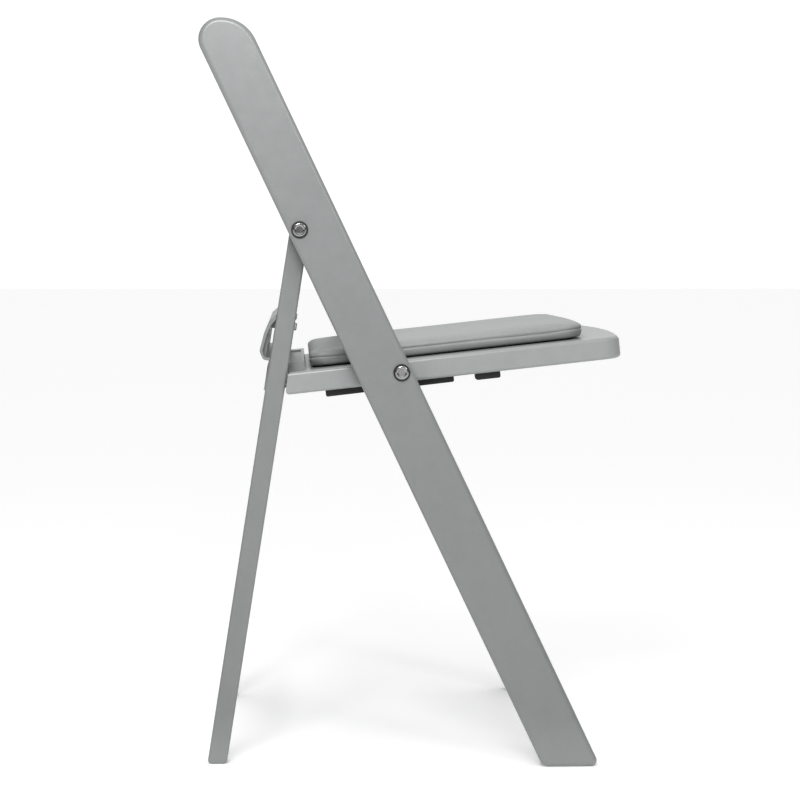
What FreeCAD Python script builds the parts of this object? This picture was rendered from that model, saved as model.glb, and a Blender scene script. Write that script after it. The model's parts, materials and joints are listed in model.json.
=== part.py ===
import FreeCAD, Part
import math
import os
from FreeCAD import Vector

# Folding chair with moulded resin frame and a padded seat.  Millimetres.
# X points to the front of the chair, Y across it, Z up.  The origin is on the floor,
# under the middle of the chair.  Everything is symmetric about the plane y = 0.

# ---- driving dimensions -------------------------------------------------------------
CHAIR_HEIGHT = 776.0

# pivots, as (x, z) in the side plane
LEG_PIVOT = (-121.8, 560.0)
SEAT_PIVOT = (-17.0, 413.2)

# leans from the vertical and tilt from the horizontal, degrees
RAIL_LEAN = 25.37
LEG_LEAN = 8.96
SEAT_TILT = 6.2

# side rail: back upright and front leg in one moulding
RAIL_OUTER = 222.5
RAIL_THICK = 25.0
RAIL_FOOT_REAR = 130.7
RAIL_FOOT_FRONT = 191.2
RAIL_EDGE = 5.0
RAIL_CORNERS = (11.0, 6.0, 38.0, 22.0)

# rear leg
LEG_OUTER = 192.5
LEG_THICK = 22.0
LEG_WIDTH = 20.2
LEG_TOP = 15.0
LEG_EDGE = 2.5

# seat frame, measured from the seat pivot: u forward, n up from its middle plane
SEAT_HALF = 196.5
SEAT_THICK = 23.0
SEAT_SIDE = 58.0
SEAT_REAR = 112.0
SEAT_REAR_TOP_RADIUS = 14.0
SEAT_REAR_BOTTOM_RADIUS = 6.0
CHEEK_INNER = 193.0
CHEEK_GAP = 1.2
CHEEK_RADIUS = 4.0
SEAT_BLANK_REAR = 130.0
SEAT_FRONT = 242.0
SEAT_BOW = 9.0
SEAT_CORNER = 20.0
SEAT_EDGE = 4.0
OPENING_REAR = -65.0
OPENING_FRONT = 165.0
TONGUE_HALF = 166.0
TONGUE_FRONT = -98.5
TONGUE_TOP = 20.0
TONGUE_BOTTOM = -5.5
TONGUE_PROUD = 1.5

# cushion and the board under it
CUSHION_REAR = -95.5
CUSHION_FRONT = 205.5
CUSHION_HALF = 165.5
CUSHION_HEIGHT = 19.0
CUSHION_BOW = 6.0
CUSHION_CORNER = 32.0
CUSHION_EDGE = 7.0
BOARD_INSET = 16.0
BOARD_THICK = 8.0
BOARD_CORNER = 24.0

# back slats: heights along the rail above the leg pivot
SLAT_RANGES = {"upper_back_slat": (132.0, 212.0), "lower_back_slat": (72.0, 122.0)}
SLAT_THICK = 10.0
SLAT_END_FORE = 22.0
SLAT_BOW = 20.0
SLAT_EDGE = 3.0
TENON = 10.0

# stretchers, height above the floor and section
FRONT_STRETCHER_Z = 168.0
REAR_STRETCHER_Z = 175.0
STRETCHER_TALL = 34.0
FRONT_STRETCHER_THICK = 18.0
REAR_STRETCHER_THICK = 15.0
FRONT_STRETCHER_FORE = 26.0

# slat on the rear legs: distances down the leg from the leg pivot
LEG_SLAT_TOP = 90.0
LEG_SLAT_BOTTOM = 139.0
LEG_SLAT_DEPTH = 12.0
LEG_SLAT_WALL = 3.0
LEG_SLAT_POCKET = 8.0
LEG_SLAT_SLOT = 4.5

# pivot hardware
BOLT_SHANK = 4.0
BOLT_HEAD = 7.1
BOLT_HEAD_TALL = 3.0
BOLT_HEAD_EDGE = 1.3
BOLT_DISH = 5.0
BOLT_SOCKET = 3.6
RING_OUTER = 8.8
RING_THICK = 1.2
SPACER_RADIUS = 9.0
SLEEVE_RADIUS = 5.5
SLEEVE_FLANGE = 8.0
FLANGE_THICK = 2.0
NUT_PROUD = 0.2
RUNNING_FIT = 0.05

# slide pin, its bracket and its slot
PIN_RADIUS = 3.0
SLOT_RADIUS = 4.0
SLOT_DEPTH = 10.0
BRACKET_THICK = 3.0
BRACKET_HALF = 5.2
BRACKET_CLEAR = 0.8

# small screws
SCREW_RADIUS = 2.0
SCREW_HEAD = 4.0
DRIVE_RADIUS = 1.2

# derived values
RAIL_INNER = RAIL_OUTER - RAIL_THICK
LEG_INNER = LEG_OUTER - LEG_THICK
SEAT_INNER = SEAT_HALF - SEAT_SIDE
HALF_LEG = LEG_WIDTH / 2
HALF_SEAT = SEAT_THICK / 2
RAIL_SLOPE = math.tan(math.radians(RAIL_LEAN))
PIVOT_DROP = LEG_PIVOT[1] - SEAT_PIVOT[1]
PIVOT_AHEAD = SEAT_PIVOT[0] - LEG_PIVOT[0]


# ---- helpers ------------------------------------------------------------------------
def corner_arc(before, corner, after, radius):
    """Tangent points and middle point of the arc that rounds one corner."""
    inward = (before - corner).normalize()
    outward = (after - corner).normalize()
    half = inward.getAngle(outward) / 2
    reach = radius / math.tan(half)
    bisector = (inward + outward).normalize()
    centre = corner + bisector * (radius / math.sin(half))
    start = corner + inward * reach
    end = corner + outward * reach
    return start, centre - bisector * radius, end


def rounded_face(points, radii):
    """A face whose outline joins the points by lines, with rounded corners."""
    count = len(points)
    edges = []
    arcs = []
    for i in range(count):
        before = points[i - 1]
        after = points[(i + 1) % count]
        if radii[i] > 0:
            arcs.append(corner_arc(before, points[i], after, radii[i]))
        else:
            arcs.append((points[i], None, points[i]))
    for i in range(count):
        start, middle, end = arcs[i]
        if middle is not None:
            edges.append(Part.Arc(start, middle, end).toShape())
        following = arcs[(i + 1) % count][0]
        if (following - end).Length > 1e-6:
            edges.append(Part.LineSegment(end, following).toShape())
    return Part.Face(Part.Wire(edges))


def side_slab(points, radii, y_low, y_high):
    """A slab across Y from an outline of (x, z) points."""
    face = rounded_face([Vector(x, y_low, z) for x, z in points], radii)
    return face.extrude(Vector(0, y_high - y_low, 0))


def plan_slab(points, radii, z_low, z_high):
    """A slab along Z from an outline of (x, y) points."""
    face = rounded_face([Vector(x, y, z_low) for x, y in points], radii)
    return face.extrude(Vector(0, 0, z_high - z_low))


def box(low, high):
    return Part.makeBox(high[0] - low[0], high[1] - low[1], high[2] - low[2], Vector(*low))


def rod(radius, start, end):
    start = Vector(*start)
    along = Vector(*end) - start
    return Part.makeCylinder(radius, along.Length, start, along)


def tilted(shape, origin, angle):
    """Turn a shape about Y, front end up for a positive angle, and put it at origin."""
    placed = shape.copy()
    placed.rotate(Vector(0, 0, 0), Vector(0, -1, 0), angle)
    placed.translate(Vector(origin[0], 0, origin[1]))
    return placed


def on_rail(shape):
    return tilted(shape, LEG_PIVOT, RAIL_LEAN)


def on_leg(shape):
    return tilted(shape, LEG_PIVOT, -LEG_LEAN)


def on_seat(shape):
    return tilted(shape, SEAT_PIVOT, SEAT_TILT)


def mirrored(shape):
    return shape.mirror(Vector(0, 0, 0), Vector(0, 1, 0))


def both_sides(shapes):
    """A list of shapes and their mirror images across y = 0."""
    return shapes + [mirrored(shape) for shape in shapes]


def fillet_where(shape, radius, wanted):
    """Round every edge that satisfies the test."""
    chosen = [edge for edge in shape.Edges if wanted(edge)]
    return shape.makeFillet(radius, chosen)


def on_face_y(y):
    def test(edge):
        return all(abs(v.Point.y - y) < 1e-4 for v in edge.Vertexes)
    return test


class Screw:
    """A screw's full form, which its hole has too, and the drive recess in its head."""

    def __init__(self, form, drive, place=None):
        self.form = form
        self.drive = drive
        if place is not None:
            self.form = place(form)
            self.drive = place(drive)

    def placed(self, place):
        return Screw(self.form, self.drive, place)

    def solid(self):
        return self.form.cut(self.drive)


def holes(screws):
    return both_sides([screw.form for screw in screws])


def save_screws(name, screws):
    save(name, both_sides([screw.solid() for screw in screws]))


def save(name, shapes):
    """Write one node; several shapes become a group of separate solids."""
    solids = [solid for shape in shapes for solid in shape.Solids]
    node = solids[0] if len(solids) == 1 else Part.makeCompound(solids)
    for solid in solids:
        if not solid.isValid():
            raise ValueError(name + " is not a valid solid")
    node.exportStep("parts/" + name + ".step")


def cut_all(shape, tools):
    for tool in tools:
        shape = shape.cut(tool)
    return shape


# ---- places on the chair ------------------------------------------------------------
def turned(x, z, angle):
    """(x, z) turned front end up by an angle in degrees."""
    a = math.radians(angle)
    return x * math.cos(a) - z * math.sin(a), x * math.sin(a) + z * math.cos(a)


def rail_x(foot_x, z):
    return foot_x - z * RAIL_SLOPE


# The slide pin is on the leg's centre line both when open and when folded flat.
FOLDED_OFFSET = turned(PIVOT_AHEAD, -PIVOT_DROP, -RAIL_LEAN)
PIN_N = FOLDED_OFFSET[0]
OPEN_AHEAD, OPEN_UP = turned(PIVOT_AHEAD, -PIVOT_DROP, LEG_LEAN)
SPREAD = math.radians(SEAT_TILT + LEG_LEAN)
PIN_U = -(OPEN_AHEAD - PIN_N * math.sin(SPREAD)) / math.cos(SPREAD)
PIN_OPEN_DROP = -(OPEN_UP + PIN_U * math.sin(SPREAD) + PIN_N * math.cos(SPREAD))
PIN_FOLDED_DROP = -FOLDED_OFFSET[1] - PIN_U


# ---- frame body: rails, back slats, front stretcher ---------------------------------
def rail_blank():
    top = CHAIR_HEIGHT
    outline = [
        (rail_x(RAIL_FOOT_REAR, 0), 0),
        (rail_x(RAIL_FOOT_FRONT, 0), 0),
        (rail_x(RAIL_FOOT_FRONT, top), top),
        (rail_x(RAIL_FOOT_REAR, top), top),
    ]
    slab = side_slab(outline, RAIL_CORNERS, RAIL_INNER, RAIL_OUTER)
    slab = fillet_where(slab, RAIL_EDGE, on_face_y(RAIL_OUTER))
    return fillet_where(slab, RAIL_EDGE, on_face_y(RAIL_INNER))


def bowed_slat(low, high):
    """A slat between the rails that bows to the rear, drawn in rail coordinates."""
    half = RAIL_INNER + TENON
    back = SLAT_END_FORE - SLAT_THICK
    rear = Part.Arc(Vector(back, -half, low), Vector(back - SLAT_BOW, 0, low),
                    Vector(back, half, low)).toShape()
    front = Part.Arc(Vector(SLAT_END_FORE, half, low),
                     Vector(SLAT_END_FORE - SLAT_BOW, 0, low),
                     Vector(SLAT_END_FORE, -half, low)).toShape()
    ends = [
        Part.LineSegment(Vector(back, half, low), Vector(SLAT_END_FORE, half, low)),
        Part.LineSegment(Vector(SLAT_END_FORE, -half, low), Vector(back, -half, low)),
    ]
    wire = Part.Wire([rear, ends[0].toShape(), front, ends[1].toShape()])
    slat = Part.Face(wire).extrude(Vector(0, 0, high - low))
    long_edges = [e for e in slat.Edges if e.Length > RAIL_INNER]
    return on_rail(slat.makeFillet(SLAT_EDGE, long_edges))


def stretcher(fore, along, thick, half_span, edge):
    """A straight rail across the chair, in rail or leg coordinates."""
    low = (fore - thick / 2, -half_span - TENON, along - STRETCHER_TALL / 2)
    high = (fore + thick / 2, half_span + TENON, along + STRETCHER_TALL / 2)
    bar = box(low, high)
    long_edges = [e for e in bar.Edges if e.Length > 2 * half_span]
    return bar.makeFillet(edge, long_edges)


def cross_screw(rear, length, along, y):
    """A flush countersunk screw along the local X axis, head at the rear face."""
    head = Part.makeCone(SCREW_HEAD, SCREW_RADIUS, SCREW_HEAD - SCREW_RADIUS,
                         Vector(rear, y, along), Vector(1, 0, 0))
    shank = rod(SCREW_RADIUS, (rear, y, along), (rear + length, y, along))
    drive = rod(DRIVE_RADIUS, (rear - 1, y, along), (rear + 1.2, y, along))
    return Screw(head.fuse(shank).removeSplitter(), drive)


def frame_body():
    rail = rail_blank()
    slats = {name: bowed_slat(*span) for name, span in SLAT_RANGES.items()}
    rail_rear = turned(rail_x(RAIL_FOOT_REAR, LEG_PIVOT[1]) - LEG_PIVOT[0], 0, -RAIL_LEAN)[0]
    low_along = -(LEG_PIVOT[1] - FRONT_STRETCHER_Z) / math.cos(math.radians(RAIL_LEAN))
    low_along += FRONT_STRETCHER_FORE * RAIL_SLOPE
    front_bar = on_rail(stretcher(FRONT_STRETCHER_FORE, low_along, FRONT_STRETCHER_THICK,
                                  RAIL_INNER, 4.0))
    screw_y = RAIL_INNER + TENON / 2
    slat_screws = []
    for low, high in SLAT_RANGES.values():
        middle = (low + high) / 2
        slat_screws.append(cross_screw(rail_rear, 26.0, middle, screw_y).placed(on_rail))
    bar_screws = [cross_screw(rail_rear, 42.0, low_along, screw_y).placed(on_rail)]
    screws = [screw.form for screw in slat_screws + bar_screws]
    tools = list(slats.values()) + [front_bar] + screws + pivot_bores()
    save("left_side_rail", [cut_all(rail, tools)])
    save("right_side_rail", [mirrored(cut_all(rail, tools))])
    for name, slat in slats.items():
        save(name, [cut_all(slat, holes(slat_screws))])
    save("front_stretcher", [cut_all(front_bar, holes(bar_screws))])
    save_screws("back_slat_screws", slat_screws)
    save_screws("front_stretcher_screws", bar_screws)


# ---- pivot hardware -----------------------------------------------------------------
def pivots():
    """Each pivot's place and the inner and outer faces of the part that turns on it."""
    return [(LEG_PIVOT, LEG_INNER, LEG_OUTER), (SEAT_PIVOT, SEAT_INNER, SEAT_HALF)]


def pivot_bores():
    return [rod(BOLT_SHANK + RUNNING_FIT, (x, RAIL_INNER - 1, z), (x, RAIL_OUTER + 1, z))
            for (x, z), inner, outer in pivots()]


def sleeve_bore(place, inner, outer):
    x, z = place
    return rod(SLEEVE_RADIUS + RUNNING_FIT, (x, inner - 1, z), (x, outer + 1, z))


def pivot_bolt(place, inner):
    x, z = place
    seat_y = RAIL_OUTER + RING_THICK
    top_y = seat_y + BOLT_HEAD_TALL
    head = rod(BOLT_HEAD, (x, seat_y, z), (x, top_y, z))
    head = fillet_where(head, BOLT_HEAD_EDGE, on_face_y(top_y))
    shank = rod(BOLT_SHANK, (x, inner + 2, z), (x, seat_y, z))
    dish = Part.makeCone(BOLT_SOCKET, BOLT_DISH, 1.2, Vector(x, top_y - 1.2, z), Vector(0, 1, 0))
    socket = hexagon(BOLT_SOCKET, (x, seat_y + 0.5, z), BOLT_HEAD_TALL)
    return head.fuse(shank).removeSplitter().cut(dish).cut(socket)


def hexagon(radius, centre, length):
    x, y, z = centre
    points = []
    for i in range(6):
        a = math.radians(60 * i + 30)
        points.append(Vector(x + radius * math.cos(a), y, z + radius * math.sin(a)))
    wire = Part.makePolygon(points + [points[0]])
    return Part.Face(wire).extrude(Vector(0, length, 0))


def ring(inner_radius, outer_radius, place, y_low, y_high):
    x, z = place
    disc = rod(outer_radius, (x, y_low, z), (x, y_high, z))
    return disc.cut(rod(inner_radius, (x, y_low - 1, z), (x, y_high + 1, z)))


def sleeve_nut(place, inner, outer):
    x, z = place
    flange_low = inner - FLANGE_THICK - 2 * RUNNING_FIT
    flange = rod(SLEEVE_FLANGE, (x, flange_low, z), (x, flange_low + FLANGE_THICK, z))
    barrel = rod(SLEEVE_RADIUS, (x, flange_low, z), (x, outer + NUT_PROUD, z))
    nut = flange.fuse(barrel).removeSplitter()
    bore = rod(BOLT_SHANK, (x, inner + 2, z), (x, outer + 1, z))
    drive = hexagon(BOLT_SOCKET, (x, flange_low - 0.5, z), 1.7)
    return nut.cut(bore).cut(drive)


def pivot_hardware():
    names = ("leg_pivot", "seat_pivot")
    rings = []
    spacers = []
    for name, (place, inner, outer) in zip(names, pivots()):
        save(name + "_bolts", both_sides([pivot_bolt(place, inner)]))
        save(name + "_sleeve_nuts", both_sides([sleeve_nut(place, inner, outer)]))
        rings.append(ring(BOLT_SHANK, RING_OUTER, place, RAIL_OUTER, RAIL_OUTER + RING_THICK))
        spacers.append(ring(BOLT_SHANK, SPACER_RADIUS, place, outer + NUT_PROUD, RAIL_INNER))
    save("bolt_rings", both_sides(rings))
    save("pivot_spacers", both_sides(spacers))


# ---- rear leg body ------------------------------------------------------------------
def leg_floor(ahead):
    """Height, in leg coordinates, of the floor at a distance ahead of the leg's centre."""
    a = math.radians(LEG_LEAN)
    return (-LEG_PIVOT[1] + ahead * math.sin(a)) / math.cos(a)


def leg_blank():
    outline = [
        (-HALF_LEG, leg_floor(-HALF_LEG)),
        (HALF_LEG, leg_floor(HALF_LEG)),
        (HALF_LEG, LEG_TOP),
        (-HALF_LEG, LEG_TOP),
    ]
    slab = side_slab(outline, (4.0, 4.0, 9.5, 9.5), LEG_INNER, LEG_OUTER)
    slab = fillet_where(slab, LEG_EDGE, on_face_y(LEG_OUTER))
    return fillet_where(slab, LEG_EDGE, on_face_y(LEG_INNER))


def slide_slot():
    """Blind slot in the leg's inner face, in leg coordinates."""
    start = rod(SLOT_RADIUS, (0, LEG_INNER - 1, -PIN_OPEN_DROP),
                (0, LEG_INNER + SLOT_DEPTH, -PIN_OPEN_DROP))
    end = rod(SLOT_RADIUS, (0, LEG_INNER - 1, -PIN_FOLDED_DROP),
              (0, LEG_INNER + SLOT_DEPTH, -PIN_FOLDED_DROP))
    middle = box((-SLOT_RADIUS, LEG_INNER - 1, -PIN_FOLDED_DROP),
                 (SLOT_RADIUS, LEG_INNER + SLOT_DEPTH, -PIN_OPEN_DROP))
    return start.fuse(end).fuse(middle).removeSplitter()


def leg_slat():
    """Moulded slat behind the rear legs, with a see-through slot and hollow ends."""
    rear = -HALF_LEG
    depth = LEG_SLAT_DEPTH
    top = -LEG_SLAT_TOP
    bottom = -LEG_SLAT_BOTTOM
    outline = [
        (rear, top),
        (rear - 0.6 * depth, top - 9.0),
        (rear - 0.85 * depth, top - 22.0),
        (rear - depth, bottom + 8.0),
        (rear - 0.55 * depth, bottom),
        (rear, bottom),
    ]
    solid = side_slab(outline, (0, 12.0, 26.0, 7.0, 4.0, 0), -LEG_OUTER, LEG_OUTER)
    wall = LEG_SLAT_WALL
    pocket = [
        (rear + 1.0, top - wall - 1.0),
        (rear - 0.6 * depth + wall, top - 9.0 - wall),
        (rear - 0.85 * depth + wall, top - 22.0 - 0.5 * wall),
        (rear - depth + wall, bottom + 9.0),
        (rear - 0.5 * depth, bottom + wall),
        (rear + 1.0, bottom + wall),
    ]
    space = side_slab(pocket, (0, 6.0, 12.0, 4.0, 2.0, 0), LEG_OUTER - LEG_SLAT_POCKET,
                      LEG_OUTER + 1)
    slot = box((rear - LEG_SLAT_SLOT, -LEG_OUTER - 1, bottom + wall),
               (rear + 1.0, LEG_OUTER + 1, top - 15.0))
    return cut_all(solid, both_sides([space]) + [slot])


def leg_slat_screw(along):
    """Pan-head screw through the leg from its front edge into the slat."""
    y = (LEG_INNER + LEG_OUTER) / 2
    head = rod(SCREW_HEAD, (HALF_LEG, y, along), (HALF_LEG + 2.4, y, along))
    head = head.makeFillet(1.2, [e for e in head.Edges if e.BoundBox.XMin > HALF_LEG + 2])
    tip = -HALF_LEG - 0.6 * LEG_SLAT_DEPTH
    shank = rod(SCREW_RADIUS, (tip, y, along), (HALF_LEG + 0.5, y, along))
    drive = rod(DRIVE_RADIUS, (HALF_LEG + 1.4, y, along), (HALF_LEG + 3, y, along))
    return Screw(head.fuse(shank).removeSplitter(), drive)


def rear_leg_body():
    leg = leg_blank()
    along = leg_floor(0) + REAR_STRETCHER_Z / math.cos(math.radians(LEG_LEAN))
    bar = stretcher(0, along, REAR_STRETCHER_THICK, LEG_INNER, 4.0)
    bar_screws = [cross_screw(-HALF_LEG, 16.0, along, LEG_INNER + TENON / 2)]
    slat = leg_slat()
    slat_screws = [leg_slat_screw(-LEG_SLAT_TOP - 10.0)]
    leg = cut_all(leg, [slide_slot(), bar] + [s.form for s in bar_screws + slat_screws])
    leg = on_leg(leg).cut(sleeve_bore(*pivots()[0]))
    save("left_rear_leg", [leg])
    save("right_rear_leg", [mirrored(leg)])
    save("rear_leg_slat", [on_leg(cut_all(slat, holes(slat_screws)))])
    save("rear_stretcher", [on_leg(cut_all(bar, holes(bar_screws)))])
    save_screws("leg_slat_screws", [screw.placed(on_leg) for screw in slat_screws])
    save_screws("rear_stretcher_screws", [screw.placed(on_leg) for screw in bar_screws])


# ---- seat body ----------------------------------------------------------------------
def bowed_plan(rear, front, half, bow, corner, low, high):
    """A plan outline with rounded front corners and a front edge that bows forward."""
    side_front = front - bow
    block = plan_slab([(rear, -half), (side_front, -half), (side_front, half), (rear, half)],
                      (0, corner, corner, 0), low, high)
    run = half - corner
    radius = (run ** 2 + bow ** 2) / (2 * bow)
    disc = Part.makeCylinder(radius, high - low, Vector(front - radius, 0, low))
    cap = disc.common(box((side_front, -run, low), (front, run, high)))
    return block.fuse(cap).removeSplitter()


def seat_blank():
    blank = bowed_plan(-SEAT_BLANK_REAR, SEAT_FRONT, SEAT_HALF, SEAT_BOW, SEAT_CORNER,
                       -HALF_SEAT, HALF_SEAT)

    def outer(edge):
        flat = abs(edge.BoundBox.ZMax - edge.BoundBox.ZMin) < 1e-4
        return flat and edge.BoundBox.XMax > 0
    return fillet_where(blank, SEAT_EDGE, outer)


def cheek_rear(n):
    """Rear end, at a height n, of the cheek that runs up to the open rear leg's face."""
    ahead = HALF_LEG + CHEEK_GAP - OPEN_AHEAD
    return (ahead + n * math.sin(SPREAD)) / math.cos(SPREAD)


def seat_profile(rear_bottom, rear_top, bottom_radius, top_radius, y_low, y_high):
    """A slab with the seat frame's side outline."""
    front = SEAT_FRONT + 1
    outline = [(rear_bottom, -HALF_SEAT), (front, -HALF_SEAT), (front, HALF_SEAT),
               (rear_top, HALF_SEAT)]
    return side_slab(outline, (bottom_radius, 0, 0, top_radius), y_low, y_high)


def seat_frame():
    """Moulded frame whose sides pass inside the rear legs, with cheeks outside them."""
    middle = seat_profile(-SEAT_REAR, -SEAT_REAR, SEAT_REAR_BOTTOM_RADIUS,
                          SEAT_REAR_TOP_RADIUS, -CHEEK_INNER, CHEEK_INNER)
    cheek = seat_profile(cheek_rear(-HALF_SEAT), cheek_rear(HALF_SEAT), CHEEK_RADIUS,
                         CHEEK_RADIUS, CHEEK_INNER, SEAT_HALF + 1)
    frame = seat_blank().common(middle.fuse(both_sides([cheek])))
    opening = plan_slab([(OPENING_REAR, -SEAT_INNER), (OPENING_FRONT, -SEAT_INNER),
                         (OPENING_FRONT, SEAT_INNER), (OPENING_REAR, SEAT_INNER)],
                        (14.0, 14.0, 14.0, 14.0), -HALF_SEAT - 1, HALF_SEAT + 1)
    frame = on_seat(frame.cut(opening))
    tongue = box((-SEAT_REAR - 60, -TONGUE_HALF, TONGUE_BOTTOM),
                 (TONGUE_FRONT, TONGUE_HALF, TONGUE_TOP))
    recess = plan_slab([(-117.0, -130.0), (-102.0, -130.0), (-102.0, 130.0), (-117.0, 130.0)],
                       (3.0, 3.0, 3.0, 3.0), TONGUE_TOP - 2.0, TONGUE_TOP + 1)
    tongue = on_seat(tongue.cut(recess))
    proud = -HALF_LEG - TONGUE_PROUD
    behind = on_leg(box((proud - 80, -300, -260), (proud, 300, -60)))
    return frame.fuse(tongue.cut(behind)).removeSplitter()


def slide_bracket():
    """Steel plate on the tongue's end that carries the slide pin, in seat coordinates."""
    y_low = TONGUE_HALF
    y_high = TONGUE_HALF + BRACKET_THICK
    arm = box((PIN_U - BRACKET_HALF, y_low, TONGUE_BOTTOM + 3),
              (PIN_U + BRACKET_HALF, y_high, PIN_N))
    eye = rod(BRACKET_HALF, (PIN_U, y_low, PIN_N), (PIN_U, y_high, PIN_N))
    return arm.fuse(eye).removeSplitter()


def slide_pin():
    y_low = TONGUE_HALF - 2.5
    pin = rod(PIN_RADIUS, (PIN_U, y_low, PIN_N), (PIN_U, LEG_INNER - BRACKET_CLEAR, PIN_N))
    head = rod(PIN_RADIUS + 1.5, (PIN_U, y_low, PIN_N), (PIN_U, TONGUE_HALF, PIN_N))
    return pin.fuse(head).removeSplitter()


def bracket_screws():
    screws = []
    for n in (1.5, 14.5):
        y = TONGUE_HALF + BRACKET_THICK
        head = Part.makeCone(SCREW_RADIUS, 3.2, 1.2, Vector(PIN_U, y - 1.2, n), Vector(0, 1, 0))
        shank = rod(SCREW_RADIUS, (PIN_U, y - 18, n), (PIN_U, y - 1.2, n))
        drive = rod(DRIVE_RADIUS, (PIN_U, y - 1, n), (PIN_U, y + 1, n))
        screws.append(Screw(head.fuse(shank).removeSplitter(), drive))
    return screws


def cushion_screws():
    """Screws up through the seat frame into the board."""
    screws = []
    for u in (-71.0, 180.0):
        head = rod(SCREW_HEAD, (u, 100.0, -HALF_SEAT), (u, 100.0, -HALF_SEAT + 3))
        shank = rod(SCREW_RADIUS, (u, 100.0, -HALF_SEAT), (u, 100.0, HALF_SEAT + 6))
        drive = rod(DRIVE_RADIUS, (u, 100.0, -HALF_SEAT - 1), (u, 100.0, -HALF_SEAT + 1.5))
        screws.append(Screw(head.fuse(shank).removeSplitter(), drive).placed(on_seat))
    return screws


def cushion_and_board():
    top = HALF_SEAT
    board = bowed_plan(CUSHION_REAR + BOARD_INSET, CUSHION_FRONT - BOARD_INSET,
                       CUSHION_HALF - BOARD_INSET, CUSHION_BOW, BOARD_CORNER,
                       top, top + BOARD_THICK)
    cushion = bowed_plan(CUSHION_REAR, CUSHION_FRONT, CUSHION_HALF, CUSHION_BOW,
                         CUSHION_CORNER, top + 0.3, top + CUSHION_HEIGHT)

    def upper(edge):
        return edge.BoundBox.ZMin > top + CUSHION_HEIGHT - 1e-3
    cushion = fillet_where(cushion, CUSHION_EDGE, upper)
    return cushion.cut(board), board


def bumpers():
    """Black rubber strip and block under each side rail of the seat frame."""
    strip = side_slab([(-80.0, -HALF_SEAT - 7), (55.0, -HALF_SEAT - 6), (55.0, -HALF_SEAT),
                       (-80.0, -HALF_SEAT)], (2.0, 2.0, 0, 0), 170.0, 187.0)
    block = side_slab([(78.0, -HALF_SEAT - 7), (104.0, -HALF_SEAT - 7), (104.0, -HALF_SEAT),
                       (78.0, -HALF_SEAT)], (2.0, 2.0, 0, 0), 170.0, 187.0)
    return strip, block


def seat_body():
    frame = cut_all(seat_frame(), both_sides([sleeve_bore(*pivots()[1])]))
    plate_screws = [screw.placed(on_seat) for screw in bracket_screws()]
    pad_screws = cushion_screws()
    cushion, board = cushion_and_board()
    pin = on_seat(slide_pin())
    bracket = cut_all(on_seat(slide_bracket()), [pin] + [s.form for s in plate_screws])
    pins = both_sides([pin])
    save("seat_frame", [cut_all(frame, holes(plate_screws + pad_screws) + pins)])
    save("seat_board", [cut_all(on_seat(board), holes(pad_screws))])
    save("seat_cushion", [on_seat(cushion)])
    save_screws("cushion_screws", pad_screws)
    save("left_slide_bracket", [bracket])
    save("right_slide_bracket", [mirrored(bracket)])
    save("slide_pins", pins)
    save_screws("bracket_screws", plate_screws)
    strip, block = bumpers()
    save("seat_bumper_strips", both_sides([on_seat(strip)]))
    save("seat_bumper_blocks", both_sides([on_seat(block)]))


def main():
    os.makedirs("parts", exist_ok=True)
    frame_body()
    pivot_hardware()
    rear_leg_body()
    seat_body()


main()
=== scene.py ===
import json
import math

import bmesh
import bpy
from mathutils import Matrix, Vector, kdtree
from mathutils import noise as field


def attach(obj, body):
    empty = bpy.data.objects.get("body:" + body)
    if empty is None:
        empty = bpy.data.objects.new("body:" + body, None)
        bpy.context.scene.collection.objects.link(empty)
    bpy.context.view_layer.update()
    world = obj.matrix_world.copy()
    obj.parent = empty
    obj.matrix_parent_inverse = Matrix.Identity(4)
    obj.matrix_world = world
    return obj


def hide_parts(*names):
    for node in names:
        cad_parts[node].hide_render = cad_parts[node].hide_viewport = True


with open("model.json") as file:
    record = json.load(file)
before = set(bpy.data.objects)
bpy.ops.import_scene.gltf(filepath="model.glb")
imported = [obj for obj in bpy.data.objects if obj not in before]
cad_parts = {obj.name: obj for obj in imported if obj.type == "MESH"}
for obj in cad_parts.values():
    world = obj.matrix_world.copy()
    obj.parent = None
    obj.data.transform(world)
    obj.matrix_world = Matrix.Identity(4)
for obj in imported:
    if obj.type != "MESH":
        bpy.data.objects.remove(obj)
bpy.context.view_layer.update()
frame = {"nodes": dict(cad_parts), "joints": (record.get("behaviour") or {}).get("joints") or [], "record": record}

# Folding chair.  Metres; +X is the chair's front, +Y its left, +Z up.
NODES = frame["nodes"]
JOINTS = {joint["name"]: joint for joint in frame["joints"]}
SEAT_PIVOT = Vector(JOINTS["seat_fold"]["pos_m"])
SEAT_TILT = math.radians(6.2)

# ---- cushion, metres, from the seat pivot: u forward, n up from the seat's middle plane
PAD_REAR = -0.0955
PAD_FRONT = 0.2055
PAD_HALF = 0.1655
PAD_BOW = 0.006
PAD_CORNER = 0.019
PAD_REAR_CORNER = 0.016
PAD_BASE = 0.0118
PAD_EDGE_HEIGHT = 0.0172
PAD_CROWN_HEIGHT = 0.0190
PAD_SEAM_HEIGHT = 0.0098
PAD_CROWN_REACH = 0.08
PAD_POINT_SPACING = 0.008

# ---- how the cushion swells and puckers, metres
CLOTH_VOXEL = 0.0035
CLOTH_PRESSURE = 3.0
CLOTH_FRAMES = 20
HELD_HEIGHT = 0.0025
NEIGHBOURS = 6
SWELL_CAP = 0.0012
PUCKER_DEPTH = 0.0004
PUCKER_REACH = 0.018
PUCKER_RISE = 0.004
SLACK_SHARE = 0.8

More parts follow.
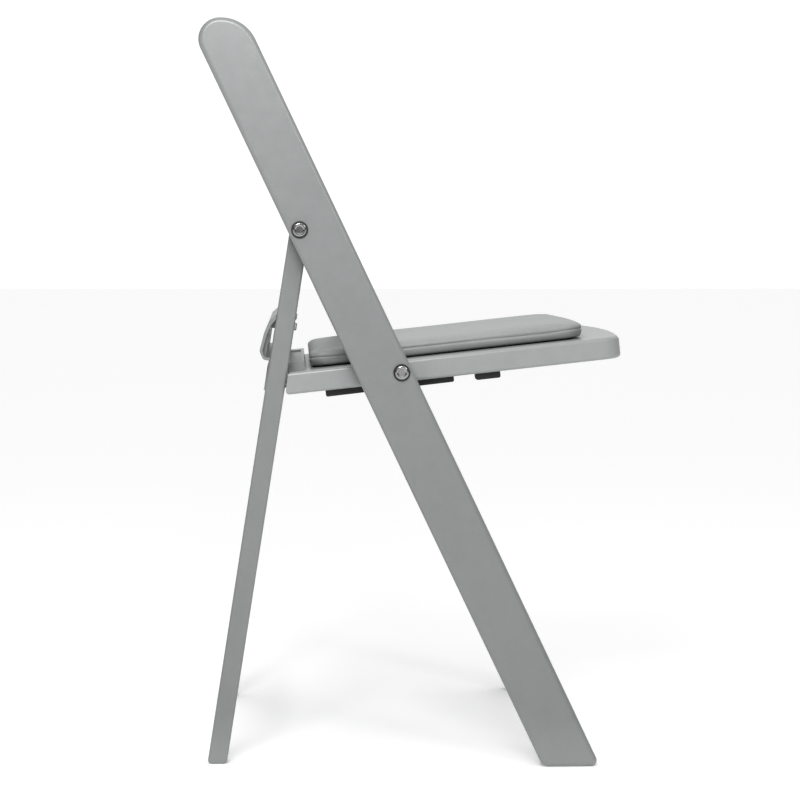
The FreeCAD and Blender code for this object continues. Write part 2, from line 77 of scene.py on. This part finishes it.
# ---- tones, as linear reflectance
RAIL_TONE = 0.198
SEAT_TONE = 0.272
BRIGHT_STEEL_TONE = 0.36
SCREW_STEEL_TONE = 0.34
BLACK_TONE = 0.006
VINYL_DARK = (0.264, 0.276, 0.273)
VINYL_LIGHT = (0.285, 0.298, 0.295)
PLYWOOD_DARK = (0.014, 0.013, 0.012)
PLYWOOD_LIGHT = (0.034, 0.031, 0.028)

# ---- painted light on the feet, standing in for light bounced off the floor: how much lighter, how strong at the floor, how high in metres
FLOOR_BOUNCE_TONE = 1.4
FLOOR_BOUNCE_STRENGTH = 0.75
FLOOR_BOUNCE_HEIGHT = 0.055

# ---- studio: floor, world glow and camera
FLOOR_REACH = 30.0
FLOOR_TONE = 0.97
FLOOR_GLOW = 0.18
SEEN_GLOW = 1.1
LOW_GLOW = 0.1
TOP_GLOW = 1.3
BACK_SHARE = 0.35
SIDE_FLAG = 0.8
CAMERA_PLACE = (-0.1229, -2.605, 0.5392)
CAMERA_PITCH = math.radians(3.70)
CAMERA_YAW = math.radians(2.50)
CAMERA_LENS = 104.3
CAMERA_SENSOR = 36.0


# ---- node helpers -------------------------------------------------------------------
def new_material(name):
    """A node material, its node tree and its shader."""
    material = bpy.data.materials.new(name)
    material.use_nodes = True
    tree = material.node_tree
    shader = tree.nodes["Principled BSDF"]
    return material, tree, shader


def add(tree, kind, **values):
    """A node of one kind, with values for its inputs or its own settings."""
    node = tree.nodes.new(kind)
    for key, value in values.items():
        if key in node.inputs:
            node.inputs[key].default_value = value
        else:
            setattr(node, key, value)
    return node


def object_space(tree, scale=(1, 1, 1)):
    """Object coordinates, so that a texture keeps its size and place on the chair."""
    coords = add(tree, "ShaderNodeTexCoord")
    mapping = add(tree, "ShaderNodeMapping")
    mapping.inputs["Scale"].default_value = scale
    tree.links.new(coords.outputs["Object"], mapping.inputs["Vector"])
    return mapping.outputs["Vector"]


def noise(tree, vector, scale, detail=4.0, roughness=0.55):
    node = add(tree, "ShaderNodeTexNoise", Scale=scale, Detail=detail, Roughness=roughness)
    tree.links.new(vector, node.inputs["Vector"])
    return node.outputs["Fac"]


def ramp(tree, factor, stops):
    """Colours at positions along a factor."""
    node = add(tree, "ShaderNodeValToRGB")
    elements = node.color_ramp.elements
    while len(elements) < len(stops):
        elements.new(0.5)
    for element, (position, colour) in zip(elements, stops):
        element.position = position
        element.color = (*colour, 1)
    tree.links.new(factor, node.inputs["Fac"])
    return node.outputs["Color"]


def remap(tree, factor, low, high, from_low=0.0, from_high=1.0):
    """A factor carried from one range to another."""
    node = add(tree, "ShaderNodeMapRange")
    node.inputs["From Min"].default_value = from_low
    node.inputs["From Max"].default_value = from_high
    node.inputs["To Min"].default_value = low
    node.inputs["To Max"].default_value = high
    tree.links.new(factor, node.inputs["Value"])
    return node.outputs["Result"]


def mix(tree, factor, first, second, blend="MIX"):
    """A colour mix, in which each input is a value or a socket."""
    node = add(tree, "ShaderNodeMix", data_type="RGBA", blend_type=blend)
    for socket, value in ((node.inputs[0], factor), (node.inputs[6], first),
                          (node.inputs[7], second)):
        if isinstance(value, bpy.types.NodeSocket):
            tree.links.new(value, socket)
        else:
            socket.default_value = value if isinstance(value, float) else (*value, 1)
    return node.outputs[2]


def bump(tree, height, distance, strength=1.0, normal=None):
    node = add(tree, "ShaderNodeBump", Strength=strength, Distance=distance)
    tree.links.new(height, node.inputs["Height"])
    if normal is not None:
        tree.links.new(normal, node.inputs["Normal"])
    return node.outputs["Normal"]


# ---- materials ----------------------------------------------------------------------
def resin_material(name, tone):
    """Moulded grey resin: faint flow mottling, a fine pebble, and painted light that lightens the feet as if lit
    from the floor.
    """
    material, tree, shader = new_material(name)
    space = object_space(tree)
    flow = noise(tree, object_space(tree, (1, 1, 0.35)), 9.0, 3.0)
    pebble = noise(tree, space, 1500.0, 2.0)
    dust = noise(tree, space, 70.0, 6.0, 0.7)
    dark = tuple(tone * c for c in (0.955, 1.0, 0.992))
    light = tuple(tone * c for c in (1.0, 1.045, 1.035))
    base = ramp(tree, flow, [(0.3, dark), (0.7, light)])
    speck = ramp(tree, dust, [(0.35, (0.95, 0.95, 0.95)), (0.62, (1.0, 1.0, 1.0))])
    body = mix(tree, 1.0, base, speck, "MULTIPLY")
    # painted light: a lighter copy of the resin's tone on the feet, standing in for light bounced off the floor
    bounce_light = tuple(FLOOR_BOUNCE_TONE * c for c in light)
    bounce_lit_colour = mix(tree, floor_bounce_mask(tree, space, dust), body, bounce_light)
    tree.links.new(bounce_lit_colour, shader.inputs["Base Color"])
    tree.links.new(remap(tree, dust, 0.27, 0.36), shader.inputs["Roughness"])
    normal = bump(tree, pebble, 0.00004, 0.5)
    tree.links.new(bump(tree, flow, 0.0004, 0.15, normal), shader.inputs["Normal"])
    return material


def floor_bounce_mask(tree, space, dust):
    """Where the painted floor-bounce light goes: nothing over most of the chair, rising over the last centimetres
    above the floor, blotched by the dust noise.
    """
    parts = add(tree, "ShaderNodeSeparateXYZ")
    tree.links.new(space, parts.inputs["Vector"])
    height = remap(tree, parts.outputs["Z"], FLOOR_BOUNCE_STRENGTH, 0.0, 0.0, FLOOR_BOUNCE_HEIGHT)
    bounce_light = add(tree, "ShaderNodeMath", operation="MULTIPLY")
    tree.links.new(height, bounce_light.inputs[0])
    tree.links.new(remap(tree, dust, 0.6, 1.0), bounce_light.inputs[1])
    return bounce_light.outputs["Value"]


def vinyl_material():
    """Grey upholstery vinyl: leather-like cell grain with a soft sheen."""
    material, tree, shader = new_material("grey_vinyl")
    space = object_space(tree)
    cells = add(tree, "ShaderNodeTexVoronoi", Scale=620.0, feature="DISTANCE_TO_EDGE")
    tree.links.new(space, cells.inputs["Vector"])
    wear = noise(tree, space, 26.0, 5.0)
    fine = noise(tree, space, 1900.0, 2.0)
    base = ramp(tree, wear, [(0.3, VINYL_DARK), (0.7, VINYL_LIGHT)])
    valley = ramp(tree, cells.outputs["Distance"], [(0.0, (0.86, 0.86, 0.86)),
                                                    (0.16, (1.0, 1.0, 1.0))])
    tree.links.new(mix(tree, 1.0, base, valley, "MULTIPLY"), shader.inputs["Base Color"])
    tree.links.new(remap(tree, wear, 0.34, 0.46), shader.inputs["Roughness"])
    grain = bump(tree, cells.outputs["Distance"], 0.00012, 0.55)
    tree.links.new(bump(tree, fine, 0.00003, 0.4, grain), shader.inputs["Normal"])
    shader.inputs["Specular IOR Level"].default_value = 0.3
    shader.inputs["Coat Weight"].default_value = 0.05
    shader.inputs["Coat Roughness"].default_value = 0.3
    return material


def steel_material(name, tone, roughness, scratch):
    """Steel with faint clouding and fine scratches of a given depth."""
    material, tree, shader = new_material(name)
    space = object_space(tree)
    streak = noise(tree, object_space(tree, (1, 8, 1)), 900.0, 3.0)
    cloud = noise(tree, space, 160.0, 4.0)
    base = ramp(tree, cloud, [(0.3, tuple(tone * 0.9 for _ in range(3))),
                              (0.7, (tone, tone, tone * 1.01))])
    tree.links.new(base, shader.inputs["Base Color"])
    tree.links.new(remap(tree, cloud, roughness, roughness + 0.1), shader.inputs["Roughness"])
    tree.links.new(bump(tree, streak, scratch, 0.4), shader.inputs["Normal"])
    shader.inputs["Metallic"].default_value = 1.0
    return material


def black_material(name, tone, roughness, grain_scale):
    """Black nylon or rubber with a fine grain."""
    material, tree, shader = new_material(name)
    space = object_space(tree)
    cloud = noise(tree, space, 60.0, 5.0)
    grain = noise(tree, space, grain_scale, 2.0)
    base = ramp(tree, cloud, [(0.3, (tone, tone, tone)),
                              (0.75, (tone * 1.7, tone * 1.7, tone * 1.65))])
    tree.links.new(base, shader.inputs["Base Color"])
    tree.links.new(remap(tree, cloud, roughness, roughness + 0.12), shader.inputs["Roughness"])
    tree.links.new(bump(tree, grain, 0.00006, 0.5), shader.inputs["Normal"])
    return material


def plywood_material():
    """Plywood stained black, its grain running from front to back."""
    material, tree, shader = new_material("plywood")
    grain = noise(tree, object_space(tree, (0.12, 1, 1)), 260.0, 6.0, 0.65)
    base = ramp(tree, grain, [(0.25, PLYWOOD_DARK), (0.75, PLYWOOD_LIGHT)])
    tree.links.new(base, shader.inputs["Base Color"])
    tree.links.new(remap(tree, grain, 0.5, 0.7), shader.inputs["Roughness"])
    tree.links.new(bump(tree, grain, 0.0002, 0.4), shader.inputs["Normal"])
    return material


def make_materials():
    """Every finish on the chair, by slot name."""
    return {
        "grey_resin": resin_material("grey_resin", RAIL_TONE),
        "seat_resin": resin_material("seat_resin", SEAT_TONE),
        "grey_vinyl": vinyl_material(),
        "bright_steel": steel_material("bright_steel", BRIGHT_STEEL_TONE, 0.06, 0.00001),
        "screw_steel": steel_material("screw_steel", SCREW_STEEL_TONE, 0.26, 0.00003),
        "black_nylon": black_material("black_nylon", BLACK_TONE, 0.34, 900.0),
        "black_rubber": black_material("black_rubber", BLACK_TONE, 0.62, 1400.0),
        "plywood": plywood_material(),
    }


def paint_frame(materials):
    """Give each CAD node the finish of its slot; the seat frame has a lighter grey."""
    slots = {part["node"]: part["material_slot"] for part in frame["record"]["subparts"]}
    for name, node in NODES.items():
        node.data.materials.clear()
        finish = "seat_resin" if name == "seat_frame" else slots[name]
        node.data.materials.append(materials[finish])


# ---- cushion ------------------------------------------------------------------------
SEAT_AXES = Matrix.Translation(SEAT_PIVOT) @ Matrix.Rotation(-SEAT_TILT, 4, "Y")


def pad_outline(steps=10):
    """Points of the cushion's plan outline, anticlockwise from the rear right corner."""
    corners = [(PAD_REAR, -1, PAD_REAR_CORNER, 180), (PAD_FRONT - PAD_BOW, -1, PAD_CORNER, 270),
               (PAD_FRONT - PAD_BOW, 1, PAD_CORNER, 0), (PAD_REAR, 1, PAD_REAR_CORNER, 90)]
    points = []
    for u, side, r, start in corners:
        centre_u = u + r if u < 0 else u - r
        centre_y = side * (PAD_HALF - r)
        for i in range(steps + 1):
            a = math.radians(start + 90 * i / steps)
            points.append((centre_u + r * math.cos(a), centre_y + r * math.sin(a)))
    return bow_and_divide(points)


def bow_and_divide(points):
    """Even points round the outline, with the front edge bowed forward."""
    even = []
    for i, start in enumerate(points):
        end = points[(i + 1) % len(points)]
        length = math.dist(start, end)
        count = max(1, round(length / PAD_POINT_SPACING))
        for k in range(count):
            t = k / count
            even.append((start[0] + (end[0] - start[0]) * t, start[1] + (end[1] - start[1]) * t))
    return [(u + front_bow(u, y), y) for u, y in even]


def front_bow(u, y):
    """How far a point moves forward: nothing in the rear half or at the sides."""
    middle = (PAD_REAR + PAD_FRONT) / 2
    share = max(0.0, (u - middle) / (PAD_FRONT - middle))
    return PAD_BOW * share ** 2 * (1 - (y / PAD_HALF) ** 2)


def crown(inset):
    """Height of the pad's top skin above its base at a distance in from its edge."""
    share = min(1.0, inset / PAD_CROWN_REACH)
    return PAD_EDGE_HEIGHT + (PAD_CROWN_HEIGHT - PAD_EDGE_HEIGHT) * (1 - (1 - share) ** 2)


def pad_sections():
    """Insets and heights of the rings that make the pad, from the bottom middle up."""
    under = [(0.060, 0.0), (0.020, 0.0), (0.0135, 0.0), (0.0115, 0.0009), (0.0080, 0.0014)]
    lower = [(0.0052, 0.0018), (0.0040, 0.0026), (0.0031, 0.0039), (0.0023, 0.0054),
             (0.0017, 0.0071), (0.0014, 0.0086)]
    seam = [(0.0017, 0.0094), (0.0022, PAD_SEAM_HEIGHT), (0.0018, 0.0102)]
    upper = [(0.0013, 0.0109), (0.0011, 0.0122), (0.0015, 0.0139), (0.0028, 0.0156),
             (0.0054, 0.0168)]
    reaches = (0.009, 0.014, 0.021, 0.030, 0.042, 0.056, 0.072, 0.090, 0.108, 0.126, 0.142)
    return under + lower + seam + upper + [(inset, crown(inset)) for inset in reaches]


def ring_at(inset, height):
    """One ring of the pad: the outline drawn towards the pad's middle line."""
    centre_u = (PAD_FRONT + PAD_REAR) / 2
    half_u = (PAD_FRONT - PAD_REAR) / 2
    scale_u = (half_u - inset) / half_u
    scale_y = (PAD_HALF - inset) / PAD_HALF
    return [Vector((centre_u + (u - centre_u) * scale_u, y * scale_y, PAD_BASE + height))
            for u, y in pad_outline()]


def lofted(name, rings, matrix):
    """A closed mesh through rings of points, capped flat at both ends."""
    mesh = bpy.data.meshes.new(name)
    bm = bmesh.new()
    rows = [[bm.verts.new(matrix @ point) for point in ring] for ring in rings]
    for low, high in zip(rows, rows[1:]):
        for i in range(len(low)):
            k = (i + 1) % len(low)
            bm.faces.new((low[i], low[k], high[k], high[i]))
    bm.faces.new(list(reversed(rows[0])))
    bm.faces.new(rows[-1])
    bmesh.ops.recalc_face_normals(bm, faces=bm.faces)
    bm.to_mesh(mesh)
    bm.free()
    piece = bpy.data.objects.new(name, mesh)
    bpy.context.scene.collection.objects.link(piece)
    return piece


def apply_modifiers(piece):
    """Replace a piece's mesh by what its modifiers make of it."""
    graph = bpy.context.evaluated_depsgraph_get()
    mesh = bpy.data.meshes.new_from_object(piece.evaluated_get(graph))
    piece.modifiers.clear()
    piece.data = mesh


def shade_smooth(piece):
    piece.data.polygons.foreach_set("use_smooth", [True] * len(piece.data.polygons))


def swollen(piece):
    """Points of a remeshed copy, and how far each moves when it swells as cloth."""
    copy = bpy.data.objects.new("pad_cloth", piece.data.copy())
    bpy.context.scene.collection.objects.link(copy)
    remesh = copy.modifiers.new("remesh", "REMESH")
    remesh.mode = "VOXEL"
    remesh.voxel_size = CLOTH_VOXEL
    apply_modifiers(copy)
    start = [vertex.co.copy() for vertex in copy.data.vertices]
    inverse = SEAT_AXES.inverted()
    held = copy.vertex_groups.new(name="held")
    heights = [(inverse @ point).z - PAD_BASE for point in start]
    held.add([i for i, height in enumerate(heights) if height < HELD_HEIGHT], 1.0, "REPLACE")
    cloth = copy.modifiers.new("cloth", "CLOTH")
    settings = cloth.settings
    settings.quality = 6
    settings.mass = 0.4
    settings.tension_stiffness = 12
    settings.compression_stiffness = 12
    settings.shear_stiffness = 6
    settings.bending_stiffness = 0.6
    settings.use_pressure = True
    settings.uniform_pressure_force = CLOTH_PRESSURE
    settings.vertex_group_mass = "held"
    settings.effector_weights.gravity = 0
    cloth.collision_settings.use_collision = False
    for number in range(1, CLOTH_FRAMES + 1):
        bpy.context.scene.frame_set(number)
    apply_modifiers(copy)
    bpy.context.scene.frame_set(1)
    moves = [vertex.co - before for vertex, before in zip(copy.data.vertices, start)]
    bpy.data.objects.remove(copy)
    return start, moves


def swell(piece, start, moves):
    """Move each point as the cloth moved beside it, by no more than the cap."""
    tree = kdtree.KDTree(len(start))
    for i, point in enumerate(start):
        tree.insert(point, i)
    tree.balance()
    for vertex in piece.data.vertices:
        near = tree.find_n(vertex.co, NEIGHBOURS)
        weights = [1 / (distance + 0.001) for _, _, distance in near]
        move = sum((moves[i] * w for (_, i, _), w in zip(near, weights)), Vector())
        move /= sum(weights)
        if move.length > SWELL_CAP:
            move = move.normalized() * SWELL_CAP
        vertex.co += move


def edge_distance(point):
    """Distance in from the pad's nearest edge, and how far along that edge it is."""
    gaps = [(point.x - PAD_REAR, point.y), (PAD_FRONT - point.x, point.y),
            (PAD_HALF + point.y, point.x), (PAD_HALF - point.y, point.x)]
    return min(gaps)


def pucker(piece):
    """Small puckers that the seam pulls into the cover, and a slight slack on its top."""
    inverse = SEAT_AXES.inverted()
    up = SEAT_AXES.to_3x3() @ Vector((0, 0, 1))
    for vertex in piece.data.vertices:
        point = inverse @ vertex.co
        gap, along = edge_distance(point)
        spread = math.exp(-(max(gap, 0) / PUCKER_REACH) ** 2)
        ripple = field.noise(Vector((along * 95, gap * 18, 3.7)))
        slack = field.noise(Vector((point.x * 14, point.y * 11, 9.1)))
        rise = point.z - PAD_BASE - PAD_SEAM_HEIGHT
        share = min(1.0, max(0.0, rise / PUCKER_RISE))
        vertex.co += up * (share * PUCKER_DEPTH * (ripple * spread + SLACK_SHARE * slack))


def make_cushion(materials):
    """The padded seat: lofted, swollen as cloth, subdivided and puckered."""
    rings = [ring_at(inset, height) for inset, height in pad_sections()]
    pad = lofted("seat_cushion_vinyl", rings, SEAT_AXES)
    start, moves = swollen(pad)
    swell(pad, start, moves)
    subdivide = pad.modifiers.new("subdivide", "SUBSURF")
    subdivide.levels = 1
    subdivide.render_levels = 1
    apply_modifiers(pad)
    pucker(pad)
    shade_smooth(pad)
    pad.data.materials.append(materials["grey_vinyl"])
    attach(pad, "seat")
    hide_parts("seat_cushion")


# ---- floor, lights, camera ----------------------------------------------------------
def make_floor():
    """A pale flat floor, large enough to run to the horizon."""
    mesh = bpy.data.meshes.new("floor")
    reach = FLOOR_REACH
    corners = [(-reach, -reach, 0), (reach, -reach, 0), (reach, reach, 0), (-reach, reach, 0)]
    mesh.from_pydata(corners, [], [(0, 1, 2, 3)])
    floor = bpy.data.objects.new("floor", mesh)
    bpy.context.scene.collection.objects.link(floor)
    material, tree, shader = new_material("studio_floor")
    shader.inputs["Base Color"].default_value = (FLOOR_TONE, FLOOR_TONE, FLOOR_TONE, 1)
    shader.inputs["Roughness"].default_value = 0.9
    shader.inputs["Emission Color"].default_value = (1, 1, 1, 1)
    shader.inputs["Emission Strength"].default_value = FLOOR_GLOW
    mesh.materials.append(material)


def area_light(name, place, target, size, power):
    """A square light at one place, turned towards another; size in metres, power in watts."""
    light = bpy.data.lights.new(name, "AREA")
    light.energy = power
    light.size = size
    holder = bpy.data.objects.new(name, light)
    holder.location = place
    direction = Vector(target) - Vector(place)
    holder.rotation_euler = direction.to_track_quat("-Z", "Y").to_euler()
    bpy.context.scene.collection.objects.link(holder)


def make_world():
    """A studio brightest above, dimmer on the camera's side, and dimmest to front and rear.

    The camera itself sees an even white behind the chair.
    """
    world = bpy.data.worlds.new("studio")
    bpy.context.scene.world = world
    world.use_nodes = True
    tree = world.node_tree
    background = tree.nodes["Background"]
    coords = add(tree, "ShaderNodeTexCoord")
    parts = add(tree, "ShaderNodeSeparateXYZ")
    tree.links.new(coords.outputs["Generated"], parts.inputs["Vector"])
    raised = add(tree, "ShaderNodeMath", operation="MULTIPLY_ADD")
    tree.links.new(parts.outputs["Y"], raised.inputs[0])
    raised.inputs[1].default_value = BACK_SHARE
    tree.links.new(parts.outputs["Z"], raised.inputs[2])
    across = add(tree, "ShaderNodeMath", operation="ABSOLUTE")
    tree.links.new(parts.outputs["X"], across.inputs[0])
    open_sky = add(tree, "ShaderNodeMath", operation="MULTIPLY_ADD")
    tree.links.new(across.outputs["Value"], open_sky.inputs[0])
    open_sky.inputs[1].default_value = -SIDE_FLAG
    tree.links.new(raised.outputs["Value"], open_sky.inputs[2])
    glow = remap(tree, open_sky.outputs["Value"], LOW_GLOW, TOP_GLOW, -0.6, 1.0)
    seen = add(tree, "ShaderNodeLightPath")
    blend = add(tree, "ShaderNodeMix", data_type="FLOAT")
    tree.links.new(seen.outputs["Is Camera Ray"], blend.inputs[0])
    tree.links.new(glow, blend.inputs[2])
    blend.inputs[3].default_value = SEEN_GLOW
    tree.links.new(blend.outputs[0], background.inputs["Strength"])
    background.inputs["Color"].default_value = (1, 1, 1, 1)


def make_lights():
    """A near light on the rails' upper part, and a farther one from the front right."""
    area_light("key_front", (-0.25, -1.05, 1.15), (-0.2, -0.2, 0.72), 0.4, 10.0)
    area_light("side_front", (1.0, -1.95, 1.34), (0.0, -0.2, 0.5), 0.5, 8)


def make_camera():
    """A long lens at the chair's right side, a little behind its middle, looking slightly down."""
    data = bpy.data.cameras.new("camera")
    data.sensor_width = CAMERA_SENSOR
    data.lens = CAMERA_LENS
    camera = bpy.data.objects.new("camera", data)
    camera.location = CAMERA_PLACE
    camera.rotation_euler = (math.pi / 2 - CAMERA_PITCH, 0, -CAMERA_YAW)
    bpy.context.scene.collection.objects.link(camera)
    bpy.context.scene.camera = camera


bpy.context.scene.view_settings.view_transform = "Standard"
materials = make_materials()
paint_frame(materials)
make_cushion(materials)
make_floor()
make_world()
make_lights()
make_camera()
